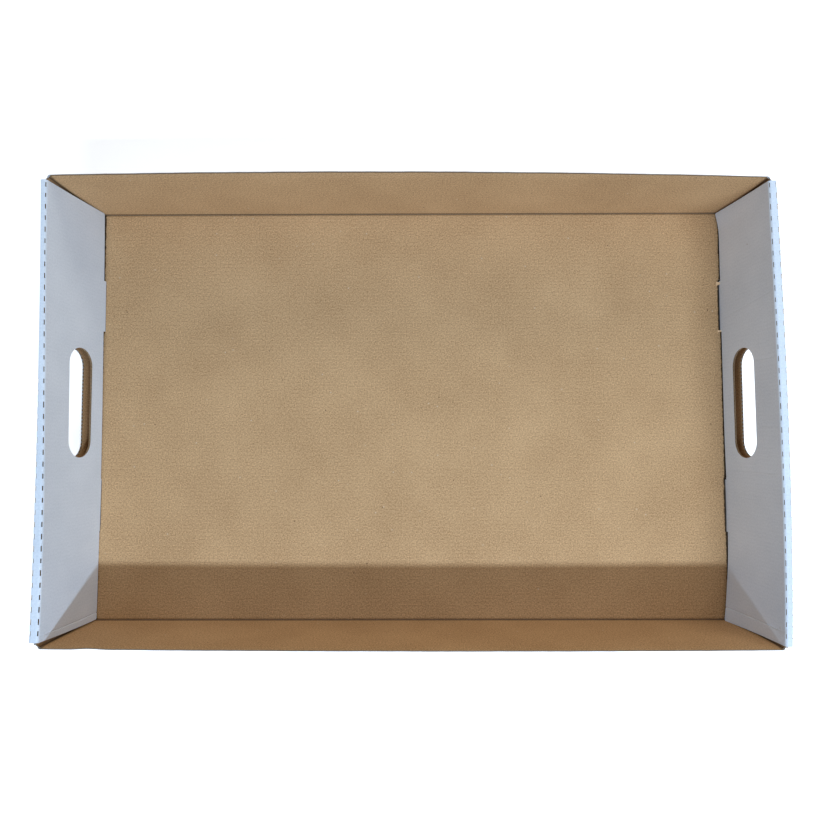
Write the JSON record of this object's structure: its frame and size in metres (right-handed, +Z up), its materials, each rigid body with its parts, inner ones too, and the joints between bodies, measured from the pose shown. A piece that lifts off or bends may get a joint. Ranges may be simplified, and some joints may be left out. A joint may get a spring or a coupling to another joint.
{
  "type": "cardboard tray box",
  "caption": "Shallow open-topped rectangular tray folded from one sheet of fine-flute corrugated board, with roll-over end walls, a hand hole in each, and lock tabs in slots in the base.",
  "frame": {"origin": "centre of the underside of the tray's outer box, on the surface that it rests on", "axes": "+X along the tray's length, towards one roll-over end wall; +Y across its width, towards the long wall that the hand holes sit nearer to; +Z up"},
  "size_m": [0.6054, 0.3832, 0.08],
  "materials": {
    "board": "matte recycled brown board inside, white-faced outside"
  },
  "bodies": {
    "root": {"tray": "board"}
  },
  "joints": []
}
